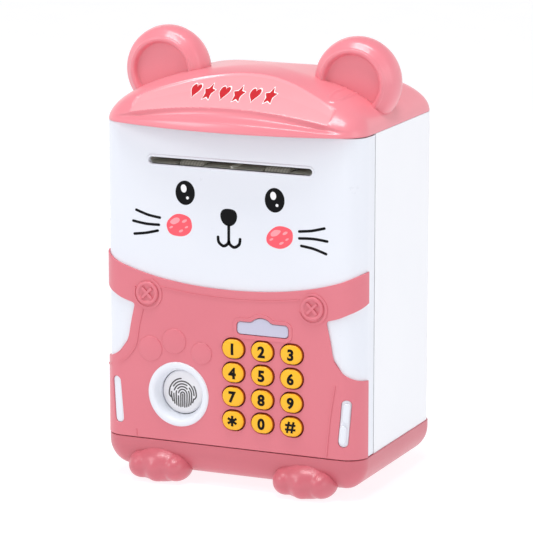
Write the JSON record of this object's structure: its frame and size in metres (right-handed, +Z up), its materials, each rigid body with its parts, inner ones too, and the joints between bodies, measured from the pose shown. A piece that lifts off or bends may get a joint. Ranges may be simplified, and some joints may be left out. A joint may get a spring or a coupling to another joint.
{
  "type": "toy atm savings bank",
  "caption": "Upright toy cash machine savings bank with a mouse face, side-hinged front door, number keys, finger pad, motor-fed note slot, round ears and paws.",
  "frame": {"origin": "under the middle of the bank, on the plane that it rests on", "axes": "+Z up, -Y towards the door and the user, +X to the user's right, on the door's latch side"},
  "size_m": [0.1376, 0.105, 0.2108],
  "materials": {
    "pink_shell": "semi-gloss moulded ABS",
    "white_shell": "semi-gloss moulded ABS",
    "pad_white": "satin moulded plastic",
    "key_yellow": "satin moulded plastic",
    "lens_lilac": "smoky clear plastic",
    "steel": "zinc-plated",
    "grey_rubber": "matt silicone",
    "roller_rubber": "matt",
    "gear_white": "natural acetal",
    "board_green": "solder mask",
    "led_red": "clear tinted",
    "speaker_black": "coated paper cone",
    "battery_green": "printed sleeve",
    "coil_copper": "lacquered winding and frame"
  },
  "bodies": {
    "case": {"base_tray": "pink_shell", "rear_shell": "white_shell", "cap_shell": "pink_shell", "ear_left": "pink_shell", "ear_right": "pink_shell", "ear_back_left": "pink_shell", "ear_back_right": "pink_shell", "ear_screws": "steel", "paw_left": "pink_shell", "paw_right": "pink_shell", "rear_pads": "grey_rubber", "case_screws": "steel", "hinge_pins": "steel", "latch_strike": "steel"},
    "door": {"door_shell": "white_shell", "door_back": "white_shell", "belly_panel": "pink_shell", "strap_button_left": "pink_shell", "strap_button_right": "pink_shell", "finger_bowl": "pad_white", "window_lens": "lens_lilac", "keypad_mat": "grey_rubber", "main_board": "board_green", "status_led": "led_red", "speaker": "speaker_black", "feed_frame": "white_shell", "feed_motor": "steel", "battery_box": "white_shell", "batteries": "battery_green", "battery_contacts": "steel", "solenoid": "coil_copper", "door_screws": "steel"},
    "feed_roller": {"feed_shaft": "steel", "feed_tyres": "roller_rubber", "feed_gear": "gear_white", "sync_gear_upper": "gear_white"},
    "idler_roller": {"idler_shaft": "steel", "idler_tyres": "roller_rubber", "sync_gear_lower": "gear_white"},
    "motor_rotor": {"motor_shaft": "steel", "motor_pinion": "gear_white"},
    "latch_bolt": {"latch_bolt": "steel"},
    "battery_cover": {"battery_cover": "white_shell"},
    "finger_pad": {"finger_pad": "pad_white"},
    "key_1": {"key_1": "key_yellow"},
    "key_2": {"key_2": "key_yellow"},
    "key_3": {"key_3": "key_yellow"},
    "key_4": {"key_4": "key_yellow"},
    "key_5": {"key_5": "key_yellow"},
    "key_6": {"key_6": "key_yellow"},
    "key_7": {"key_7": "key_yellow"},
    "key_8": {"key_8": "key_yellow"},
    "key_9": {"key_9": "key_yellow"},
    "key_star": {"key_star": "key_yellow"},
    "key_0": {"key_0": "key_yellow"},
    "key_hash": {"key_hash": "key_yellow"}
  },
  "joints": [
    {"name": "door_hinge", "type": "hinge", "parent": "case", "child": "door", "pos_m": [-0.062, -0.0274, 0.095], "axis": [0, 0, -1], "range_deg": [0, 100]},
    {"name": "feed_spin", "type": "hinge", "parent": "door", "child": "feed_roller", "pos_m": [0, -0.03265, 0.1584], "axis": [1, 0, 0], "continuous": true},
    {"name": "idler_spin", "type": "hinge", "parent": "door", "child": "idler_roller", "pos_m": [0, -0.03265, 0.148], "axis": [1, 0, 0], "continuous": true},
    {"name": "motor_spin", "type": "hinge", "parent": "door", "child": "motor_rotor", "pos_m": [-0.05, -0.03265, 0.1509], "axis": [1, 0, 0], "continuous": true},
    {"name": "latch_slide", "type": "slide", "parent": "door", "child": "latch_bolt", "axis": [1, 0, 0], "range_m": [0, 0.0035]},
    {"name": "battery_cover_slide", "type": "slide", "parent": "door", "child": "battery_cover", "axis": [-1, 0, 0], "range_m": [0, 0.012]},
    {"name": "finger_pad_press", "type": "slide", "parent": "door", "child": "finger_pad", "axis": [0, 1, 0], "range_m": [0, 0.0008], "stiffness_N_per_m": 700},
    {"name": "key_1_press", "type": "slide", "parent": "door", "child": "key_1", "axis": [0, 1, 0], "range_m": [0, 0.001], "stiffness_N_per_m": 600},
    {"name": "key_2_press", "type": "slide", "parent": "door", "child": "key_2", "axis": [0, 1, 0], "range_m": [0, 0.001], "stiffness_N_per_m": 600},
    {"name": "key_3_press", "type": "slide", "parent": "door", "child": "key_3", "axis": [0, 1, 0], "range_m": [0, 0.001], "stiffness_N_per_m": 600},
    {"name": "key_4_press", "type": "slide", "parent": "door", "child": "key_4", "axis": [0, 1, 0], "range_m": [0, 0.001], "stiffness_N_per_m": 600},
    {"name": "key_5_press", "type": "slide", "parent": "door", "child": "key_5", "axis": [0, 1, 0], "range_m": [0, 0.001], "stiffness_N_per_m": 600},
    {"name": "key_6_press", "type": "slide", "parent": "door", "child": "key_6", "axis": [0, 1, 0], "range_m": [0, 0.001], "stiffness_N_per_m": 600},
    {"name": "key_7_press", "type": "slide", "parent": "door", "child": "key_7", "axis": [0, 1, 0], "range_m": [0, 0.001], "stiffness_N_per_m": 600},
    {"name": "key_8_press", "type": "slide", "parent": "door", "child": "key_8", "axis": [0, 1, 0], "range_m": [0, 0.001], "stiffness_N_per_m": 600},
    {"name": "key_9_press", "type": "slide", "parent": "door", "child": "key_9", "axis": [0, 1, 0], "range_m": [0, 0.001], "stiffness_N_per_m": 600},
    {"name": "key_star_press", "type": "slide", "parent": "door", "child": "key_star", "axis": [0, 1, 0], "range_m": [0, 0.001], "stiffness_N_per_m": 600},
    {"name": "key_0_press", "type": "slide", "parent": "door", "child": "key_0", "axis": [0, 1, 0], "range_m": [0, 0.001], "stiffness_N_per_m": 600},
    {"name": "key_hash_press", "type": "slide", "parent": "door", "child": "key_hash", "axis": [0, 1, 0], "range_m": [0, 0.001], "stiffness_N_per_m": 600}
  ],
  "couplings": [
    {"joint": "idler_spin", "follows": "feed_spin", "ratio": -1},
    {"joint": "motor_spin", "follows": "feed_spin", "ratio": -2}
  ]
}
